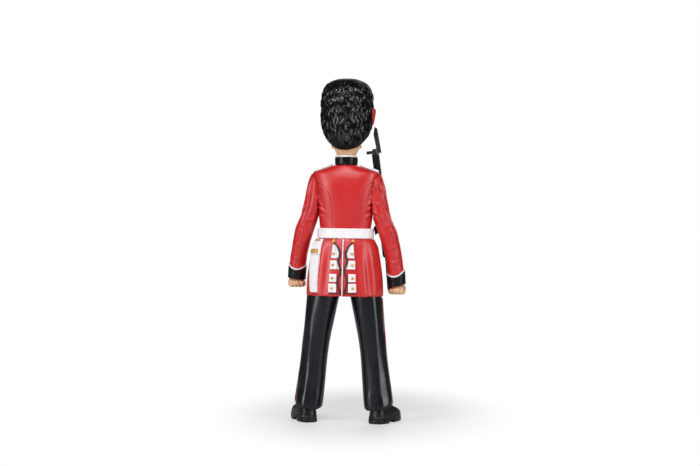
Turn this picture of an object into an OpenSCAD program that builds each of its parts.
// Toy guardsman: a painted figure standing at attention, a rifle in its right hand.
// Lengths are in millimetres and angles in degrees. The figure stands on z = 0 and faces -Y,
// so its left side is +X. Rings of points run anticlockwise seen from above, from the left side,
// and the back of the figure is at 90 degrees.

/* [Boots] */
// Length of a boot from heel to toe
boot_l = 13.2; // [11.5:0.1:14.5]
// Width of a boot across the ball of the foot
boot_w = 5.4; // [4.6:0.1:6]
// Height of the boot shaft, which ends inside the trouser leg
boot_h = 7.6; // [6.8:0.1:8.4]
// Thickness of the sole at the heel
sole_t = 1.3; // [1:0.1:1.6]
// How far the toes turn out
toe_out = 29; // [16:1:34]

/* [Trousers] */
// Height of the trouser hem above the ground, at the heel
trouser_z = 3.7; // [3.2:0.1:4.4]
// Rise of the trouser hem over the instep
trouser_rise = 2.5; // [2:0.1:3]
// Length of the trousers from their hem to the tunic's hem
leg_h = 33; // [28:0.1:38]
// Width of a thigh where it enters the tunic
thigh_w = 9.2; // [7.6:0.1:9.4]
// Depth of a thigh from front to back
thigh_d = 9; // [7.5:0.1:9.6]
// Distance between the middles of the two ankles
stance_w = 20.4; // [17:0.1:24]
// Width of the side stripe
stripe_w = 1.3; // [0.8:0.1:2]

/* [Tunic] */
// Height of the skirt from hem to belt
skirt_h = 16.6; // [14:0.1:19.5]
// Width of the skirt at its hem
skirt_w = 22.6; // [20.5:0.1:26]
// Depth of the skirt at its hem
skirt_d = 14.2; // [12.5:0.1:16]
// Thickness of the skirt's lip around the thighs
hem_t = 0.45; // [0.35:0.05:0.6]
// Height from the belt to the base of the neck
body_h = 18.4; // [16:0.1:21]
// Drop of the shoulders from the neck to the arms
shoulder_drop = 2.2; // [1.6:0.1:2.8]
// Width across the shoulders
shoulder_w = 19.7; // [17.5:0.1:21.5]
// Depth of the chest
chest_d = 10.4; // [9:0.1:12]

/* [Collar and belt] */
// Height of the black collar
collar_h = 2.2; // [1.7:0.1:2.8]
// Wall of the collar
collar_t = 0.6; // [0.4:0.05:0.8]
// Height of the white edge on top of the collar
collar_edge_h = 0.45; // [0.3:0.05:0.7]
// Height of the belt
belt_h = 3; // [2.5:0.1:3.6]
// Thickness of the belt
belt_t = 0.75; // [0.5:0.05:0.95]
// Width of the belt's plate
buckle_w = 4.2; // [3.2:0.1:5.2]

/* [Frog and scabbard] */
// Length of the frog below the belt
frog_l = 4.6; // [3.6:0.1:5.6]
// Thickness of the frog
frog_t = 0.4; // [0.3:0.05:0.6]
// Thickness of the scabbard
scabbard_t = 0.8; // [0.6:0.05:1.1]
// Height at which the scabbard's tip ends above the skirt's hem
scabbard_tip = 1.1; // [0.6:0.1:2]

/* [Arms] */
// Length of a sleeve from the shoulder to the wrist
sleeve_l = 30.7; // [27:0.1:34]
// Width of the upper arm
arm_w = 6; // [5.2:0.1:6.6]
// Depth of the upper arm
arm_d = 6.5; // [5.6:0.1:7.2]
// How far the wrists come forward of the shoulders
reach = 2.2; // [1.5:0.1:3]
// Gap between the skirt and a wrist
wrist_gap = 1.1; // [0.8:0.1:2]
// Extra drop of the right arm, which carries the rifle
carry_drop = 1.7; // [1:0.1:2.2]
// Extra reach outwards of the right arm
carry_out = 0.5; // [0.3:0.1:1]
// Slant of the left wrist, lower towards the body
wrist_slant = 0.5; // [0.2:0.1:0.9]
// Slant of the right wrist, which carries the rifle
carry_slant = 1.3; // [0.8:0.1:1.6]
// Height of a cuff at its lowest point
cuff_h = 2.5; // [2:0.1:3.2]
// Rise of the cuff's edge at the sides of the arm
cuff_wave = 1.3; // [0.8:0.1:1.8]
// Thickness of a cuff
cuff_t = 0.25; // [0.2:0.05:0.35]
// Width of the white line round a cuff
cuff_edge_h = 0.45; // [0.3:0.05:0.7]

/* [Hands] */
// Width of a fist across the knuckles
hand_w = 5; // [4.4:0.1:5.6]
// Depth of a fist from front to back
hand_d = 5.8; // [5:0.1:6.6]
// Height of the fist below the sleeve's end
hand_h = 2.4; // [2:0.1:2.8]

/* [Head] */
// Height from the base of the neck to the crown
head_h = 15.4; // [14:0.1:17]
// Width of the head above the ears
head_w = 8.6; // [7.8:0.1:9.2]
// Depth of the head from forehead to nape
head_d = 10.6; // [9.6:0.1:11.4]
// Radius of the plug that carries the head in the tunic
neck_plug_r = 2; // [1.6:0.1:2.3]
// How far the nose stands out
nose_h = 0.85; // [0.5:0.05:1.1]
// Width of the chin strap
chin_strap_w = 0.55; // [0.4:0.05:0.8]

/* [Bearskin] */
// Height of the cap from its rim at the nape to its top
cap_h = 21.1; // [19:0.1:23.5]
// Width of the cap
cap_w = 15.5; // [13.7:0.1:17]
// Depth of the cap from front to back
cap_d = 16.4; // [14.5:0.1:17.5]
// How much higher the rim is over the brow than at the nape
brow_rise = 5.4; // [4.6:0.1:6]
// Length of the plume
plume_l = 4.8; // [4:0.1:6]
// Radius of the plume at its widest
plume_r = 0.85; // [0.6:0.05:1.1]

/* [Rifle] */
// Length of the rifle from butt to muzzle
rifle_l = 42; // [38:0.1:45]
// Depth of the butt
rifle_d = 2.7; // [2.3:0.1:3.1]
// Thickness of the rifle's body
rifle_t = 1.5; // [1.2:0.05:1.7]
// Radius of the barrel
barrel_r = 0.42; // [0.35:0.01:0.5]
// Length of the bayonet's blade
blade_l = 6.9; // [5.8:0.1:8]
// Width of the blade at its guard
blade_w = 1.45; // [1.1:0.05:1.7]
// Length of the bayonet's guard
guard_l = 4.3; // [3.6:0.1:5]

/* [Trim] */
// Width of the lace on the tails, over both sides
tail_w = 7.9; // [7:0.1:9]
// Thickness of lace, piping, stripes and edging
trim_t = 0.22; // [0.16:0.02:0.3]
// Width of the white piping on the tunic
piping_w = 0.55; // [0.4:0.05:0.8]
// Radius of a large button
button_r = 0.5; // [0.4:0.02:0.6]
// Height of a button
button_h = 0.4; // [0.3:0.02:0.5]
// Number of buttons down the front
front_button_count = 7; // [5:1:9]
// Width of a shoulder strap
strap_w = 2.3; // [1.8:0.1:2.8]
// Thickness of a shoulder strap
strap_t = 0.35; // [0.25:0.05:0.5]

/* [Fits] */
// Gap between pieces that lie against each other
gap = 0.08; // [0.06:0.01:0.1]
// Gap between the cap and the head in it
cap_gap = 0.24; // [0.2:0.02:0.32]
// Gap round a peg in its socket
peg_gap = 0.05; // [0.03:0.01:0.08]
// Radius of the shoulder and hip pegs
peg_r = 1.4; // [1.1:0.1:1.6]
// Length of the shoulder and hip pegs
peg_l = 2.8; // [2:0.1:3.4]

/* [Hidden] */

// Sides of the rings of the large, middle and small lofts
body_sides = 40;
limb_sides = 28;
hand_sides = 24;
$fn = 32;

// One overrun for every cut
over = peg_l / 4;

// Heights of the seams, built up from the ground
hem_z = trouser_z + leg_h;
belt_z = hem_z + skirt_h;
waist_z = belt_z + belt_h;
neck_z = waist_z + body_h;
shoulder_z = neck_z - shoulder_drop;
collar_z = neck_z + collar_h;
crown_z = neck_z + head_h;
recess_h = peg_r;
ankle_z = boot_h + gap;

// Skirt from hem to belt: height, half width and half depth
skirt_shares = [[0, 1, 1], [0.3, 0.98, 0.97], [0.63, 0.912, 0.9], [0.91, 0.832, 0.81], [1, 0.745, 0.75]];
// Body from belt to shoulder: height, half width, front depth, back depth and squareness
body_shares = [
    [0, 0.754, 0.87, 0.85, 2.3], [0.22, 0.8, 0.92, 0.9, 2.4], [0.45, 0.841, 0.99, 0.97, 2.5],
    [0.68, 0.887, 1, 1, 2.6], [0.88, 0.95, 0.93, 0.95, 2.6], [1, 1, 0.8, 0.84, 2.5]
];
// Base of the neck: half width, front depth and back depth
yoke_shares = [0.354, 0.58, 0.64];
skirt_square = 2.2;
yoke_square = 2.1;

// Trouser leg from hem to tunic: height, shift towards the ankle, half width and half depth
leg_shares = [
    [0, 1, 0.876, 0.9], [0.125, 0.886, 0.883, 0.84], [0.46, 0.6, 0.811, 0.8], [0.6, 0.47, 0.84, 0.84],
    [0.8, 0.23, 0.913, 0.93], [1, 0, 1, 1]
];
leg_square = 2.3;
// Share of the lip's thickness that the trouser hem has
trouser_wall = hem_t;

// Boot from the sole up: height, half width, length in front of the ankle and length behind it
boot_shares = [
    [0, 1, 1, 1], [0.1, 1, 1.02, 0.98], [0.2, 0.99, 1, 0.95], [0.32, 0.95, 0.94, 0.91],
    [0.42, 0.9, 0.82, 0.88], [0.54, 0.84, 0.59, 0.85], [0.66, 0.8, 0.42, 0.83], [0.78, 0.78, 0.35, 0.82],
    [1, 0.78, 0.34, 0.82]
];
boot_square = 2.5;
// Share of a boot's length that lies behind the ankle's middle
heel_share = 0.27;
// Shift of the ankle outwards and backwards from the leg's middle, as shares of the boot's length
boot_shift_shares = [0.04, 0.03];
// Start of the arch behind the ankle, and its length
arch_shares = [0.28, 0.2];
// Radii of the ankle and wrist pegs on that of the hip pegs
ankle_peg_share = 0.9;
wrist_peg_share = 0.7;

// Sleeve from shoulder to wrist: drop, outward shift, half width, half depth and forward shift
sleeve_shares = [
    [0, 0, 0.6, 0.25, 0], [0.03, 0, 0.8, 0.7, 0], [0.08, 0, 0.95, 0.95, 0], [0.15, 0.06, 1, 1, 0],
    [0.23, 0.136, 0.983, 0.99, -0.03], [0.4, 0.36, 0.89, 0.93, -0.05], [0.49, 0.55, 0.95, 0.95, 0.06],
    [0.57, 0.66, 0.92, 0.9, 0.2], [0.71, 0.83, 0.83, 0.83, 0.5], [0.88, 0.96, 0.79, 0.78, 0.82],
    [1, 1, 0.77, 0.77, 1]
];
sleeve_square = 2.1;
// Place of the shoulder's middle, as a share of the half width of the shoulders
shoulder_share = 0.84;
// Top of the sleeves below the shoulders, as a share of the shoulders' drop
sleeve_top_share = 0.17;
// Height of the shoulder pegs, as a share of the way from the shoulders down to the belt
shoulder_peg_share = 0.3;

// Fist from inside the cuff to the knuckles: drop, half width and half depth
hand_shares = [
    [-0.7, 0.72, 0.6], [0, 0.86, 0.74], [0.3, 1, 0.95], [0.6, 1, 1], [0.85, 0.93, 0.92], [1, 0.72, 0.7]
];
hand_square = 2.6;

// Head from the neck's base to the crown: height, half width, front depth and back depth
head_shares = [
    [0, 0.6, 0.46, 0.56], [0.15, 0.63, 0.48, 0.57], [0.21, 0.67, 0.6, 0.6], [0.255, 0.74, 0.93, 0.66],
    [0.31, 0.84, 1.01, 0.74], [0.4, 0.94, 1.03, 0.84], [0.5, 0.98, 1.02, 0.92], [0.64, 1, 1.02, 0.96],
    [0.77, 0.96, 0.96, 0.93], [0.9, 0.74, 0.74, 0.72], [1, 0.36, 0.36, 0.36]
];
head_square = 2.15;
// Place of the neck's plug behind the head's middle
neck_share = 0.025;
// Nose: height on the head, reach above and below it, and half its width as an angle
nose_share = 0.45;
bridge_share = 0.08;
nostril_share = 0.04;
nose_angle = 11;
// Ears: radius on the width of the head
ear_share = 0.077;

// Cap from rim to top: height, half width and half depth
cap_shares = [
    [0, 0.6, 0.67], [0.08, 0.8, 0.81], [0.24, 0.965, 0.955], [0.45, 1, 1], [0.66, 1, 1],
    [0.82, 0.92, 0.92], [0.92, 0.75, 0.75], [0.975, 0.48, 0.48], [0.995, 0.24, 0.24], [1, 0.1, 0.1]
];
// Forward shift of the cap on the head, and of its rim besides
cap_shift_share = 0.017;
rim_shift_share = 0.028;
// Height of the rim at the nape above the base of the neck, as a share of the head
rim_share = 0.273;
// Height of the plume's middle on the cap
plume_share = 0.405;
cap_z = neck_z + rim_share * head_h;

// Value between a and b
function mix(a, b, t) = a + (b - a) * t;

// Row of a table that holds the place t
function row_at(tab, t, i = 0) = i >= len(tab) - 2 || t < tab[i + 1][0] ? i : row_at(tab, t, i + 1);

// Slope of column c of a table at row i
function slope_at(tab, i, c) =
    let (a = max(i - 1, 0), b = min(i + 1, len(tab) - 1))
    (tab[b][c] - tab[a][c]) / (tab[b][0] - tab[a][0]);

// Smooth curve through column c of a table, at the place t
function fair(tab, t, c) =
    let (i = row_at(tab, t), p = tab[i], q = tab[i + 1], h = q[0] - p[0], u = (t - p[0]) / h)
    p[c] * (1 + 2 * u) * pow(1 - u, 2) + slope_at(tab, i, c) * h * u * pow(1 - u, 2)
    + q[c] * u * u * (3 - 2 * u) + slope_at(tab, i + 1, c) * h * u * u * (u - 1);

// Power of a sine or cosine that squares an oval up
function bow(v, square) = sign(v) * pow(abs(v), 2 / square);

// Point of an oval with its own depths in front and behind
function oval(w, front, back, square, a) =
    [w * bow(cos(a), square), (sin(a) < 0 ? front : back) * bow(sin(a), square)];

// Evenly spaced angles of a ring
function turn(sides) = [for (j = [0 : sides - 1]) 360 * j / sides];

// Middle of a ring of points
function middle(ring) = [for (k = [0 : 2]) [for (p = ring) p[k]] * [for (p = ring) 1 / len(ring)]];

// Closed solid through rings of points, or a hoop where the last ring joins the first
module loft(rings, hoop = false) {
    n = len(rings[0]);
    m = len(rings);
    sides = [for (i = [0 : hoop ? m - 1 : m - 2], j = [0 : n - 1])
        let (a = i * n + j, b = i * n + (j + 1) % n, c = ((i + 1) % m) * n)
        each [[a, c + j, c + (j + 1) % n], [a, c + (j + 1) % n, b]]];
    low = [for (j = [0 : n - 1]) [m * n, j, (j + 1) % n]];
    high = [for (j = [0 : n - 1]) [m * n + 1, (m - 1) * n + (j + 1) % n, (m - 1) * n + j]];
    walls = [for (r = rings) each r];
    ends = [middle(rings[0]), middle(rings[m - 1])];
    polyhedron(hoop ? walls : concat(walls, ends), hoop ? sides : concat(sides, low, high), convexity = 6);
}

// Closed plate between a lower and an upper grid of points
module plate(low, high) {
    r = len(low);
    c = len(low[0]);
    n = r * c;
    under = [for (i = [0 : r - 2], j = [0 : c - 2]) let (a = i * c + j)
        each [[a, a + 1, a + c + 1], [a, a + c + 1, a + c]]];
    upper = [for (f = under) [f[0] + n, f[2] + n, f[1] + n]];
    rim = concat([for (j = [0 : c - 1]) j], [for (i = [1 : r - 1]) i * c + c - 1],
        [for (j = [c - 2 : -1 : 0]) (r - 1) * c + j], [for (i = [r - 2 : -1 : 1]) i * c]);
    edge = [for (k = [0 : len(rim) - 1]) let (p = rim[k], q = rim[(k + 1) % len(rim)])
        each [[p, p + n, q + n], [p, q + n, q]]];
    faces = concat(under, upper, edge);
    across = cross(low[0][1] - low[0][0], low[1][0] - low[0][0]);
    turned = across * (high[0][0] - low[0][0]) < 0;
    polyhedron([for (g = [low, high], row = g) each row],
        turned ? [for (f = faces) [f[2], f[1], f[0]]] : faces, convexity = 4);
}

// Low dome with a flat back, its axis along z
module button(r, h) {
    rim = h / 3;
    rotate_extrude() polygon([[0, 0], [r, 0], [r, rim], [r * cos(40), mix(rim, h, sin(40))],
        [r * cos(65), mix(rim, h, sin(65))], [0, h]]);
}

// Section of the tunic at a height: half width, front depth, back depth and squareness
function tunic_section(z) =
    z < belt_z ? let (t = (z - hem_z) / skirt_h)
        [fair(skirt_shares, t, 1) * skirt_w / 2, fair(skirt_shares, t, 2) * skirt_d / 2,
        fair(skirt_shares, t, 2) * skirt_d / 2, skirt_square]
    : z < shoulder_z ? let (t = max(z - waist_z, 0) / (shoulder_z - waist_z))
        [fair(body_shares, t, 1) * shoulder_w / 2, fair(body_shares, t, 2) * chest_d / 2,
        fair(body_shares, t, 3) * chest_d / 2, fair(body_shares, t, 4)]
    : let (t = (z - shoulder_z) / shoulder_drop, top = body_shares[len(body_shares) - 1])
        [mix(top[1], yoke_shares[0], t) * shoulder_w / 2, mix(top[2], yoke_shares[1], t) * chest_d / 2,
        mix(top[3], yoke_shares[2], t) * chest_d / 2, mix(top[4], yoke_square, t)];

// Ring of the tunic at a height, grown by out; at_z moves it without changing its shape
function tunic_ring(z, out = 0, at_z = undef) =
    let (s = tunic_section(z))
    [for (a = turn(body_sides)) let (p = oval(s[0] + out, s[1] + out, s[2] + out, s[3], a))
        [p[0], p[1], is_undef(at_z) ? z : at_z]];

// Point of the tunic's front (side -1) or back (side 1) at x and z, grown by out
function tunic_at(x, z, side, out = 0) =
    let (s = tunic_section(z), d = side < 0 ? s[1] : s[2], k = min(abs(x) / s[0], 1))
    [x * (s[0] + out) / s[0], side * (d + out) * pow(1 - pow(k, s[3]), 1 / s[3]), z];

// Plate laid on the tunic through rows of [z, x from, x to]
module laid(rows, side, t, steps = 2, lift = 0) {
    grids = [for (out = [gap + lift, gap + lift + t]) [for (r = rows) [for (j = [0 : steps])
        tunic_at(mix(r[1], r[2], j / steps), r[0], side, out)]]];
    plate(grids[0], grids[1]);
}

// Button laid on the tunic at x and z
module laid_button(x, z, side, r, h, lift = 0) {
    near = tunic_at(x, z, side, gap + lift);
    beside = tunic_at(x + r, z, side, gap + lift) - tunic_at(x - r, z, side, gap + lift);
    above = tunic_at(x, z + r, side, gap + lift) - tunic_at(x, z - r, side, gap + lift);
    out = cross(beside, above) * -side;
    n = out / norm(out);
    translate(near) rotate([0, acos(n[2]), atan2(n[1], n[0])]) button(r, h);
}

// Height of the top of the sleeves
function sleeve_top() = shoulder_z - sleeve_top_share * shoulder_drop;

// Half width and half depth of a sleeve at the wrist
function wrist_half() =
    let (end = sleeve_shares[len(sleeve_shares) - 1])
    [end[2] * arm_w / 2, end[3] * arm_d / 2];

// Height of a wrist, and its distance from the middle of the body
function wrist_z(side) = sleeve_top() - sleeve_l - (side < 0 ? carry_drop : 0);
function wrist_x(side) =
    tunic_section(wrist_z(1))[0] + wrist_gap + wrist_half()[0] + (side < 0 ? carry_out : 0);

// Section of a sleeve: middle x and y, half width and half depth
function sleeve_section(t, side) =
    let (from = shoulder_share * shoulder_w / 2, s = sleeve_shares)
    [mix(from, wrist_x(side), fair(s, t, 1)), -reach * fair(s, t, 4), fair(s, t, 2) * arm_w / 2,
    fair(s, t, 3) * arm_d / 2];

// Height of a place on the sleeve, on its middle line
function sleeve_z(t, side) = mix(sleeve_top(), wrist_z(side), t);

// Height of a place on the sleeve at an angle; below slant_share the sleeve slants towards the body
slant_share = 0.7;
function slant(side, a) = (side < 0 ? carry_slant : wrist_slant) / 2 * cos(a);
function sleeve_at(t, side, a) =
    sleeve_z(t, side) + slant(side, a) * max(t - slant_share, 0) / (1 - slant_share);

// Place on the slanted part of the sleeve that has a height at an angle
function sleeve_t(z, side, a) =
    let (k = slant(side, a) / (1 - slant_share))
    (sleeve_z(0, side) - z - slant_share * k) / (sleeve_z(0, side) - wrist_z(side) - k);

// Least x that clears the tunic at y and z
function clear_x(y, z) =
    let (s = tunic_section(z), off = 2 * gap, d = (y < 0 ? s[1] : s[2]) + off, k = min(abs(y) / d, 1))
    (s[0] + off) * pow(1 - pow(k, s[3]), 1 / s[3]);

// Point round a sleeve at an angle, grown by out and pressed flat where it meets the tunic
function sleeve_point(t, side, a, out = 0) =
    let (s = sleeve_section(t, side), p = oval(s[2] + out, s[3] + out, s[3] + out, sleeve_square, a),
        x = s[0] + p[0], y = s[1] + p[1], z = sleeve_at(t, side, a))
    [max(x, clear_x(y, z) + (x < s[0] ? 0 : 4 * gap)), y, z];

// Mirrors a left piece to the right side
module on_side(side) {
    if (side < 0) mirror([1, 0, 0]) children();
    else children();
}

// Height of the shoulder pegs, and half width of the tunic there
function peg_z() = mix(shoulder_z, waist_z, shoulder_peg_share);
function peg_x() = tunic_section(peg_z())[0];

// Peg or socket of the left shoulder between two distances from the middle
module shoulder_peg(r, from, to) {
    translate([from, 0, peg_z()]) rotate([0, 90, 0]) cylinder(h = to - from, r = r);
}

// Peg or socket of a hip, along z
module hip_peg(r, l) {
    translate([hip_x(), 0, hem_z + recess_h - over]) cylinder(h = l + over, r = r);
}

// Middle of a thigh where it enters the skirt
function hip_x() = skirt_w / 2 - hem_t - gap - thigh_w / 2;

module tunic() {
    lip = [for (z = [recess_h, 0]) tunic_ring(hem_z, -hem_t, hem_z + z)];
    skirt = [for (i = [0 : 7]) tunic_ring(hem_z + (skirt_h - gap / 10) * i / 7)];
    seat = [tunic_ring(waist_z, 0, belt_z), tunic_ring(waist_z)];
    body = [for (i = [1 : 12]) tunic_ring(mix(waist_z, shoulder_z - gap / 10, i / 12))];
    yoke = [for (i = [0.5, 1]) tunic_ring(mix(shoulder_z, neck_z, i))];
    color("crimson") difference() {
        loft(concat(lip, skirt, seat, body, yoke));
        for (side = [-1, 1]) on_side(side) {
            shoulder_peg(peg_r + peg_gap, peg_x() - peg_l - peg_gap, shoulder_w);
            hip_peg(peg_r + peg_gap, peg_l + peg_gap);
        }
        translate([0, neck_y(), neck_z - peg_l - peg_gap])
            cylinder(h = peg_l + over, r = neck_plug_r + peg_gap);
    }
}

module sleeve(side) {
    levels = [
        1, 0.9, 0.8, 0.71, 0.64, 0.57, 0.53, 0.49, 0.45, 0.4, 0.32, 0.23, 0.15, 0.08, 0.05, 0.03, 0.015, 0
    ];
    color("crimson") on_side(side) difference() {
        union() {
            loft([for (t = levels) [for (a = turn(limb_sides)) sleeve_point(t, side, a)]]);
            shoulder_peg(peg_r, peg_x() - peg_l, peg_x() + arm_w / 4);
        }
        wrist_peg(side, wrist_peg_share * peg_r + peg_gap, over, hand_h + peg_gap);
    }
}

// Peg or socket of a wrist, along z, from below the slanted wrist up
module wrist_peg(side, r, below, above) {
    drop = slant(side, 0) + below;
    translate([wrist_x(side), -reach, wrist_z(side) - drop]) cylinder(h = drop + above, r = r);
}

// Height of a cuff's upper edge at an angle
function cuff_top(side, a) = sleeve_at(1, side, a) + cuff_h + cuff_wave * pow(cos(a), 2);

// Hoop round a sleeve between heights given for each angle
module cuff_hoop(side, low, high) {
    as = turn(limb_sides);
    function ring(zs, out) = [for (j = [0 : limb_sides - 1])
        sleeve_point(sleeve_t(zs[j], side, as[j]), side, as[j], out)];
    outer = gap + cuff_t;
    on_side(side) loft([ring(low, gap), ring(low, outer), ring(high, outer), ring(high, gap)], true);
}

module cuff(side) {
    as = turn(limb_sides);
    color("#222222")
        cuff_hoop(side, [for (a = as) sleeve_at(1, side, a)], [for (a = as) cuff_top(side, a)]);
}

module cuff_piping(side) {
    low = [for (a = turn(limb_sides)) cuff_top(side, a) + gap];
    color("white") cuff_hoop(side, low, [for (z = low) z + cuff_edge_h]);
}

// Ring of a fist, its fingers ridged across the lower half
function hand_ring(t, side) =
    let (w = fair(hand_shares, t, 1) * hand_w / 2, d = fair(hand_shares, t, 2) * hand_d / 2,
        depth = hand_d / 40 * min(max(t, 0) * 3, 1), forward = hand_d / 16)
    [for (a = turn(hand_sides)) let (p = oval(w, d, d, hand_square, a), ridge = depth * cos(8 * a))
        [wrist_x(side) + p[0] * (1 + ridge / w), -reach - forward + p[1] * (1 + ridge / d),
        wrist_z(side) - gap - t * hand_h + slant(side, a) * pow(1 - t, 2)]];

module fist(side) {
    rows = [1, 0.85, 0.6, 0.3, 0.1, 0];
    loft([for (t = rows) hand_ring(t, side)]);
    wrist_peg(side, wrist_peg_share * peg_r, 2 * gap, hand_h);
}

module left_hand() {
    color("#e0b088") fist(1);
}

module right_hand() {
    color("#e0b088") difference() {
        on_side(-1) fist(-1);
        rifle_place() butt_pocket();
    }
}

// Middle of the neck's plug, behind the middle of the head
function neck_y() = neck_share * head_d;

// Section of the head at a height: half width, front depth and back depth
function head_section(z) =
    let (t = min(max((z - neck_z) / head_h, 0), 1))
    [fair(head_shares, t, 1) * head_w / 2, fair(head_shares, t, 2) * head_d / 2,
    fair(head_shares, t, 3) * head_d / 2];

// Point of the head at a height and an angle, grown by out, with the nose at the front
function head_point(z, a, out = 0) =
    let (s = head_section(z), p = oval(s[0] + out, s[1] + out, s[2] + out, head_square, a),
        rise = (z - neck_z) / head_h - nose_share,
        up = rise / (rise > 0 ? bridge_share : nostril_share),
        aside = (a - 270) / nose_angle)
    [p[0], p[1] - nose_h * exp(-up * up - aside * aside), z];

// Angles round the head, closer together on the face
function head_turn() = [for (u = turn(body_sides)) u - 30 * cos(u)];

module head() {
    levels = [
        0.02, 0.14, 0.165, 0.185, 0.21, 0.23, 0.255, 0.29, 0.33, 0.37, 0.41, 0.44, 0.47, 0.51, 0.56, 0.62, 0.7,
        0.8, 0.9, 0.97, 1
    ];
    ear_r = ear_share * head_w;
    ear_z = rim_z(15) - gap - ear_r;
    color("#e0b088") union() {
        loft([for (t = levels) [for (a = head_turn()) head_point(neck_z + t * head_h, a)]]);
        translate([0, neck_y(), neck_z - peg_l]) cylinder(h = peg_l + neck_plug_r, r = neck_plug_r);
        for (side = [-1, 1]) translate([side * head_section(ear_z)[0], 0, ear_z]) sphere(r = ear_r);
    }
}

module collar() {
    outer = [for (z = [neck_z + gap, collar_z]) [for (a = head_turn()) head_point(z, a, gap + collar_t)]];
    inner = [for (z = [neck_z + gap, collar_z]) [for (a = head_turn()) head_point(z, a, gap)]];
    color("#222222") loft([inner[0], outer[0], outer[1], inner[1]], true);
}

module collar_piping() {
    low = collar_z + gap;
    high = low + collar_edge_h;
    function ring(z, out) = [for (a = head_turn()) head_point(z, a, out)];
    color("white") loft([ring(low, gap), ring(low, gap + collar_t * 0.8), ring(high, gap + collar_t * 0.7),
        ring(high, gap)], true);
}

// Height of the cap's rim at an angle, rising from the nape to the brow
function rim_z(a) = cap_z + brow_rise * (1 - sin(a)) / 2;

// Band over the chin, from one side of the rim to the other
module chin_strap() {
    steps = 16;
    function level(a) = mix(rim_z(a) - gap - chin_strap_w, neck_z + head_h * 0.29, pow(sin(a), 2));
    grids = [for (out = [gap, gap + trim_t]) [for (k = [0, 1]) [for (j = [0 : steps])
        let (a = mix(186, 354, j / steps)) head_point(level(a) + k * chin_strap_w, a, out)]]];
    color("goldenrod") plate(grids[0], grids[1]);
}

// Point of the cap's outside at a share of its height
function cap_point(t, a) =
    let (w = fair(cap_shares, t, 1) * cap_w / 2, d = fair(cap_shares, t, 2) * cap_d / 2,
        p = oval(w, d, d, head_square, a))
    [p[0], p[1] - cap_d * (cap_shift_share + rim_shift_share * pow(1 - t, 6)), mix(rim_z(a), cap_z + cap_h, t)];

// Point of the cap's hollow, which fits over the head
function hollow_point(t, a) =
    let (z = mix(rim_z(a), crown_z, t), s = head_section(z),
        p = oval(s[0] + cap_gap, s[1] + cap_gap, s[2] + cap_gap, head_square, a))
    [p[0], p[1], z + t * cap_gap];

module bearskin() {
    inside = [1, 0.94, 0.84, 0.7, 0.55, 0.4, 0.25, 0.12, 0];
    outside = [0, 0.04, 0.1, 0.2, 0.35, 0.5, 0.64, 0.75, 0.84, 0.91, 0.955, 0.985, 1];
    color("#1c1c1e") difference() {
        loft(concat([for (t = inside) [for (a = head_turn()) hollow_point(t, a)]],
            [for (t = outside) [for (a = head_turn()) cap_point(t, a)]]));
        plume_place() plume_shape(peg_gap);
    }
}

// Place of the plume, half sunk in the right side of the cap, a little behind its middle
module plume_place() {
    translate(cap_point(plume_share, 173)) children();
}

// Plume grown by out: a feather tuft, pointed at its root, with a peg into the cap
module plume_shape(out) {
    r = plume_r + out;
    rotate_extrude() polygon([[0, -plume_l * 0.5 - out], [r * 0.35, -plume_l * 0.47 - out], [r * 0.75, 0],
        [r, plume_l * 0.3], [r * 0.95, plume_l * 0.4], [r * 0.6, plume_l * 0.47 + out],
        [0, plume_l * 0.5 + out]]);
    rotate([0, 90, 0]) cylinder(h = plume_r * 1.9 + out, r = plume_r * 0.4 + out);
}

module plume() {
    color("#d02a2a") plume_place() plume_shape(0);
}

module belt() {
    function ring(out, z) = tunic_ring(waist_z, out, z);
    low = belt_z + gap;
    outer = gap + belt_t;
    color("white") loft([ring(gap, low), ring(outer, low), ring(outer, waist_z), ring(gap, waist_z)], true);
}

// How far the belt's plate reaches past the belt, above and below
function buckle_rim() = belt_h * 0.03;

// Plate of the belt, with a raised rim
module belt_buckle() {
    h = belt_h + 2 * buckle_rim();
    y = tunic_section(waist_z)[1] + gap + belt_t + gap;
    color("goldenrod") translate([0, -y, belt_z + belt_h / 2]) rotate([90, 0, 0]) difference() {
        linear_extrude(trim_t * 2) square([buckle_w, h], center = true);
        translate([0, 0, trim_t]) linear_extrude(trim_t + over)
            square([buckle_w * 0.8, h * 0.74], center = true);
    }
}

// Edges of the frog and scabbard as shares of the skirt's half width, from the belt to the hem
frog_shares = [[0, 0.66, 0.95], [1, 0.63, 0.78]];
function frog_row(z) =
    let (t = (belt_z - z) / skirt_h, w = tunic_section(z)[0])
    [z, w * mix(frog_shares[0][1], frog_shares[1][1], t), w * mix(frog_shares[0][2], frog_shares[1][2], t)];

module frog() {
    rows = [for (i = [0 : 6]) frog_row(mix(belt_z - gap, belt_z - frog_l, i / 6))];
    color("white") laid(rows, 1, frog_t, 6);
}

module scabbard() {
    rows = [for (i = [0 : 7]) frog_row(mix(belt_z - frog_l - gap, hem_z + scabbard_tip, i / 7))];
    color("white") laid(rows, 1, scabbard_t, 6);
}

module frog_buckle() {
    z = belt_z - frog_l * 0.78;
    rows = [for (h = [-1 : 1]) let (r = frog_row(z + h * frog_l / 10))
        [r[0], r[1] * 1.1, mix(r[1], r[2], 1.02)]];
    color("goldenrod") laid(rows, 1, trim_t, 4, gap + frog_t);
}

module frog_rivets() {
    z = belt_z - frog_l * 0.1;
    r = frog_row(z);
    color("goldenrod") for (share = [0.35, 0.75])
        laid_button(mix(r[1], r[2], share), z, 1, button_r * 0.4, button_h * 0.5, gap + frog_t);
}

// Height of the yoke at x and y, found by halving
function yoke_z(x, y, low, high, left) =
    let (z = (low + high) / 2, s = tunic_section(z), d = (y < 0 ? s[1] : s[2]),
        inside = pow(abs(x) / s[0], s[3]) + pow(abs(y) / d, s[3]) < 1)
    left == 0 ? z : inside ? yoke_z(x, y, z, high, left - 1) : yoke_z(x, y, low, z, left - 1);

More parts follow.
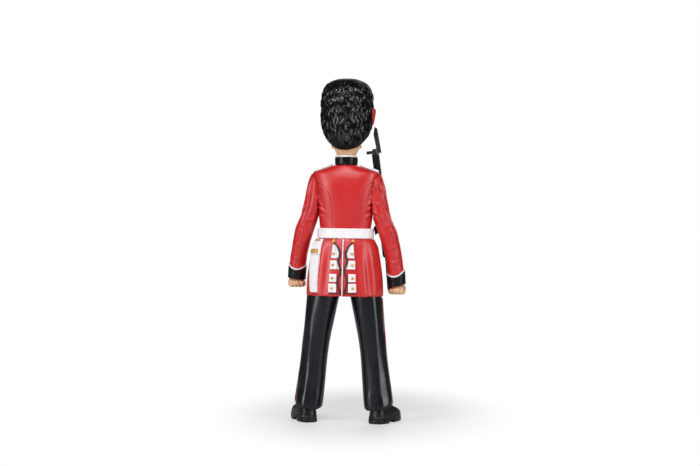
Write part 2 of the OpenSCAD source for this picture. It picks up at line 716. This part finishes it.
module shoulder_strap(side) {
    lift = gap * 2;
    inner_x = (yoke_shares[0] + 0.08) * shoulder_w / 2;
    outer_x = shoulder_w / 2 * 0.955;
    function at(i, j, up) = let (x = mix(inner_x, outer_x, i / 4), y = strap_w * (j / 4 - 0.5))
        [x, y, yoke_z(x, y, shoulder_z - shoulder_drop, neck_z, 16) + up];
    low = [for (i = [0 : 4]) [for (j = [0 : 4]) at(i, j, lift)]];
    high = [for (i = [0 : 4]) [for (j = [0 : 4]) at(i, j, lift + strap_t)]];
    color("white") on_side(side) plate(low, high);
}

// White edge of the tunic's front, above and below the belt
module front_piping() {
    function rows(from, to, n) = [for (i = [0 : n]) [mix(from, to, i / n), -piping_w / 2, piping_w / 2]];
    color("white") {
        laid(rows(shoulder_z + shoulder_drop * 0.4, waist_z + buckle_rim() + gap, 10), -1, trim_t);
        laid(rows(belt_z - buckle_rim() - gap, hem_z + gap, 10), -1, trim_t);
    }
}

module front_buttons() {
    n = front_button_count;
    color("goldenrod") for (i = [0 : n - 1])
        laid_button(-piping_w / 2 - button_r - gap, mix(shoulder_z, waist_z + button_r * 2, i / (n - 1)), -1,
            button_r, button_h);
}

// Rows of lace on the tails: upper edge, lower edge, outer edge and place of the button
lace_shares = [
    [0.095, 0.335, 0.83, 0.26], [0.375, 0.525, 0.9, 0.455], [0.605, 0.745, 0.95, 0.68], [0.775, 0.925, 1, 0.855]
];
lace_in = 0.43;

module tail_lace() {
    color("white") for (side = [-1, 1], k = [0 : 3]) let (s = lace_shares[k], to = s[2] * tail_w / 2)
        laid([for (i = [0 : 2]) let (z = belt_z - mix(s[0], s[1], i / 2) * skirt_h,
            from = k == 0 ? mix(0.64, lace_in, i / 2) : lace_in,
            far = k == 0 ? mix(0.74 * tail_w / 2, to, i / 2) : to)
            [z, side * from * tail_w / 2, side * far]], 1, trim_t);
}

module tail_buttons() {
    color("goldenrod") for (side = [-1, 1], s = lace_shares)
        laid_button(side * mix(lace_in, s[2], 0.56) * tail_w / 2, belt_z - s[3] * skirt_h, 1,
            button_r * 0.8, button_h * 0.8, gap + trim_t);
}

module waist_buttons() {
    color("goldenrod") for (side = [-1, 1])
        laid_button(side * tail_w * 0.35, belt_z - button_r * 1.3, 1, button_r, button_h);
}

// Dark edge of each tail: place below the belt and distance from the middle
edging_shares = [
    [0.095, 0.48], [0.16, 0.34], [0.25, 0.2], [0.31, 0.24], [0.37, 0.34], [0.45, 0.27], [0.52, 0.16],
    [0.58, 0.13], [0.64, 0.22], [0.7, 0.34], [0.77, 0.35], [0.84, 0.29], [0.9, 0.2], [0.96, 0.15]
];

module tail_edging() {
    half = piping_w / 2;
    color("#5a2020") for (side = [-1, 1]) laid([for (s = edging_shares) let (x = s[1] * tail_w / 2)
        [belt_z - s[0] * skirt_h, side * (x - half), side * (x + half)]], 1, trim_t, 1);
}

module tail_piping() {
    half = piping_w / 4;
    rows = [for (i = [0 : 12]) [mix(belt_z - gap, hem_z + gap, i / 12), -half, half]];
    color("white") laid(rows, 1, trim_t * 1.6);
}

// Middle of the ankle
function ankle_x() = stance_w / 2;

// Section of a left trouser leg at a share of its height, grown by out: middle x, half width, half depth
function leg_section(t, out = 0) =
    [mix(hip_x(), ankle_x(), fair(leg_shares, t, 1)), fair(leg_shares, t, 2) * thigh_w / 2 + out,
    fair(leg_shares, t, 3) * thigh_d / 2 + out];

// Ring of a left trouser leg
function leg_ring(t, out = 0, at_z = undef) =
    let (s = leg_section(t, out))
    [for (a = turn(limb_sides)) let (p = oval(s[1], s[2], s[2], leg_square, a))
        [s[0] + p[0], p[1], is_undef(at_z) ? leg_z(t, a) : at_z]];

// Height on the leg; the hem rises towards the instep, which points forwards and outwards
function leg_z(t, a) =
    trouser_z + t * leg_h + trouser_rise * (1 + cos(a - 270 - toe_out)) / 2 * pow(1 - t, 4);

module leg(side) {
    top = leg_ring(1, 0, hem_z + recess_h - gap);
    hem = [leg_ring(0, -trouser_wall, ankle_z), leg_ring(0, -trouser_wall)];
    color("#26282b") on_side(side) difference() {
        union() {
            loft(concat(hem, [for (i = [0 : 12]) leg_ring(i / 12)], [top]));
            hip_peg(peg_r, peg_l);
        }
        translate([boot_x(), boot_y(), ankle_z - over])
            cylinder(h = peg_l + peg_gap + over, r = ankle_peg_r() + peg_gap);
    }
}

// Stripe down the outside of a leg, a little in front of its middle
stripe_shift_share = 0.6;
module stripe(side) {
    function at(t, y, out) =
        let (s = leg_section(t, out))
        [s[0] + s[1] * pow(1 - pow(abs(y) / s[2], leg_square), 1 / leg_square), y, leg_z(t, atan2(y, s[1]))];
    function grid(out) = [for (i = [0 : 14])
        [for (j = [-1 : 1]) at(mix(0.005, 0.985, i / 14), stripe_w * (j / 2 - stripe_shift_share), out)]];
    color("#c03030") on_side(side) plate(grid(gap), grid(gap + trim_t));
}

// Place of the boot's ankle, a little outside the leg's middle so that the heel is under it
function boot_x() = ankle_x() + boot_shift_shares[0] * boot_l;
function boot_y() = boot_shift_shares[1] * boot_l;
function ankle_peg_r() = ankle_peg_share * peg_r;

// Outline of a boot at a share of its height
function boot_ring(t) =
    let (w = fair(boot_shares, t, 1) * boot_w / 2, front = fair(boot_shares, t, 2) * boot_l * (1 - heel_share),
        back = fair(boot_shares, t, 3) * boot_l * heel_share)
    [for (a = turn(limb_sides)) oval(w, front, back, boot_square, a)];

module boot(side) {
    levels = [0, 0.05, 0.1, 0.2, 0.27, 0.34, 0.42, 0.5, 0.58, 0.66, 0.78, 1];
    from = sole_t * 0.8;
    color("#2b2a29") on_side(side) translate([boot_x(), boot_y(), 0]) rotate(toe_out) union() {
        loft([for (t = levels) [for (p = boot_ring(t)) [p[0], p[1], mix(from, boot_h, t)]]]);
        difference() {
            linear_extrude(sole_t) polygon([for (p = boot_ring(0)) p * (1 + gap / boot_w * 2)]);
            translate([-boot_w, -arch_shares[0] * boot_l, -over])
                cube([boot_w * 2, arch_shares[1] * boot_l, sole_t * 0.62 + over]);
        }
        cylinder(h = boot_h + peg_l, r = ankle_peg_r());
    }
}

// The rifle's own frame has the barrel along z, the underside towards +x and the butt on z = 0.
// Its butt is in the fist, in front of the cuff, and its handguard is in front of the shoulder.
butt_share = 0.31;
butt_sink_share = 0.62;
rest_share = 0.83;
muzzle_share = 0.965;
blade_shift_share = 0.72;
guard_shift_share = 1.2;
function rifle_from() = [
    -wrist_x(-1) + butt_share * hand_w, -reach - wrist_half()[1] - cuff_t - 2 * gap - rifle_t / 2,
    wrist_z(-1) - butt_sink_share * hand_h
];

// Place of the rifle's muzzle: in front of the shoulder, with its guard and blade outside the cap
function rifle_to() =
    let (from = rifle_from(), l = muzzle_share * rifle_l, tip = l + 1.1 * blade_l,
        x = rest_share * shoulder_w / 2, chest = tunic_at(rifle_d * 0.4 - x, shoulder_z - shoulder_drop, -1),
        y = max(-chest[1], arm_d / 2) + gap * 2 + rifle_t / 2, rest = l / (shoulder_z + rifle_t - from[2]),
        beside = mix(-from[0], x, rest),
        guarded = cap_reach(from[2] + l + blade_w, y) + guard_l - guard_shift_share * blade_w + cap_gap,
        bladed = cap_reach(from[2] + tip, y) + (0.5 - blade_shift_share) * blade_w + 2 * cap_gap)
    [-max(beside, guarded, mix(-from[0], bladed, l / tip)), mix(from[1], -y, rest), from[2] + l];

// Half width of the cap at a height and a distance in front of its middle
function cap_reach(z, y) =
    let (t = min((z - cap_z) / cap_h, cap_shares[3][0]), w = fair(cap_shares, t, 1) * cap_w / 2,
        d = fair(cap_shares, t, 2) * cap_d / 2, k = min((y - cap_d * cap_shift_share * 2) / d, 1))
    t < 0 ? 0 : w * pow(1 - pow(max(k, 0), head_square), 1 / head_square);

module rifle_place() {
    d = rifle_to() - rifle_from();
    translate(rifle_from()) rotate([-atan2(d[1], d[2]), atan2(d[0], norm([d[1], d[2]])), 0]) children();
}

// Flat shape of the rifle, as shares of its depth and length
rifle_shares = [
    [-0.36, 0], [0.42, 0], [0.52, 0.015], [0.5, 0.05], [0.36, 0.21], [0.38, 0.235], [0.56, 0.245], [0.56, 0.39],
    [0.42, 0.4], [0.42, 0.425], [1.1, 0.4], [1.18, 0.455], [0.42, 0.5], [0.36, 0.56], [0.36, 0.6], [-0.4, 0.6],
    [-0.4, 0.12], [-0.48, 0.09], [-0.48, 0.015]
];
sight_shares = [
    [-0.38, 0.38], [-0.72, 0.41], [-0.72, 0.43], [-0.6, 0.45], [-0.6, 0.5], [-0.74, 0.53], [-0.74, 0.56],
    [-0.38, 0.58]
];
guard_shares = [[0.3, 0.49], [0.8, 0.5], [0.8, 0.56], [0.3, 0.59]];

// Flat shape of the blade, as shares of its width and length
blade_shares = [[-0.5, 0], [0.5, 0], [0.42, 0.75], [0.05, 1.05], [-0.28, 0.98]];

// Extrudes a flat shape of shares to a thickness, centred on the rifle's plane
module rifle_plate(shares, t) {
    translate([0, t / 2, 0]) rotate([90, 0, 0]) linear_extrude(t)
        polygon([for (s = shares) [s[0] * rifle_d, s[1] * rifle_l]]);
}

// Room for the butt in the fist
module butt_pocket() {
    translate([-rifle_d * 0.48 - gap, -rifle_t / 2 - gap, -gap])
        cube([rifle_d + 2 * gap, rifle_t + 2 * gap, hand_h * 2]);
}

module rifle() {
    from = rifle_l * 0.555;
    to = muzzle_share * rifle_l;
    w = rifle_d * 0.77;
    t = rifle_t * 1.06;
    color("#202020") rifle_place() union() {
        rifle_plate(rifle_shares, rifle_t);
        rifle_plate(sight_shares, rifle_t * 0.55);
        difference() {
            rifle_plate(guard_shares, rifle_t * 0.4);
            translate([rifle_d * 0.28, -rifle_t, rifle_l * 0.512])
                cube([rifle_d * 0.4, rifle_t * 2, rifle_l * 0.035]);
        }
        difference() {
            translate([-w / 2, -t / 2, from]) cube([w, t, to - from]);
            for (i = [0 : 4]) translate([-w * 0.2, -rifle_t, mix(from, to, 0.16 + i * 0.15)])
                cube([w * 0.4, rifle_t * 2, rifle_l * 0.022]);
        }
        cylinder(h = rifle_l, r = barrel_r);
    }
}

module bayonet() {
    h = blade_w * 0.62;
    z = muzzle_share * rifle_l + gap;
    color("#3a3a3c") rifle_place() difference() {
        union() {
            translate([-blade_w * guard_shift_share, -h / 2, z]) cube([guard_l, h, h]);
            translate([0, 0, z]) cylinder(h = h * 1.5, r = barrel_r * 1.9);
            translate([-blade_w * blade_shift_share, h / 4, z + h / 2]) rotate([90, 0, 0]) linear_extrude(h / 2)
                polygon([for (s = blade_shares) [s[0] * blade_w, s[1] * blade_l]]);
        }
        translate([0, 0, z - over]) cylinder(h = h * 2 + 2 * over, r = barrel_r + peg_gap);
    }
}

module left_sleeve() sleeve(1);
module right_sleeve() sleeve(-1);
module left_cuff() cuff(1);
module right_cuff() cuff(-1);
module left_cuff_piping() cuff_piping(1);
module right_cuff_piping() cuff_piping(-1);
module left_shoulder_strap() shoulder_strap(1);
module right_shoulder_strap() shoulder_strap(-1);
module left_leg() leg(1);
module right_leg() leg(-1);
module left_stripe() stripe(1);
module right_stripe() stripe(-1);
module left_boot() boot(1);
module right_boot() boot(-1);

tunic();
left_sleeve();
right_sleeve();
left_cuff();
right_cuff();
left_cuff_piping();
right_cuff_piping();
left_hand();
right_hand();
collar();
collar_piping();
head();
chin_strap();
bearskin();
plume();
belt();
belt_buckle();
frog();
frog_buckle();
frog_rivets();
scabbard();
left_shoulder_strap();
right_shoulder_strap();
front_piping();
front_buttons();
waist_buttons();
tail_buttons();
tail_lace();
tail_edging();
tail_piping();
left_leg();
right_leg();
left_stripe();
right_stripe();
left_boot();
right_boot();
rifle();
bayonet();
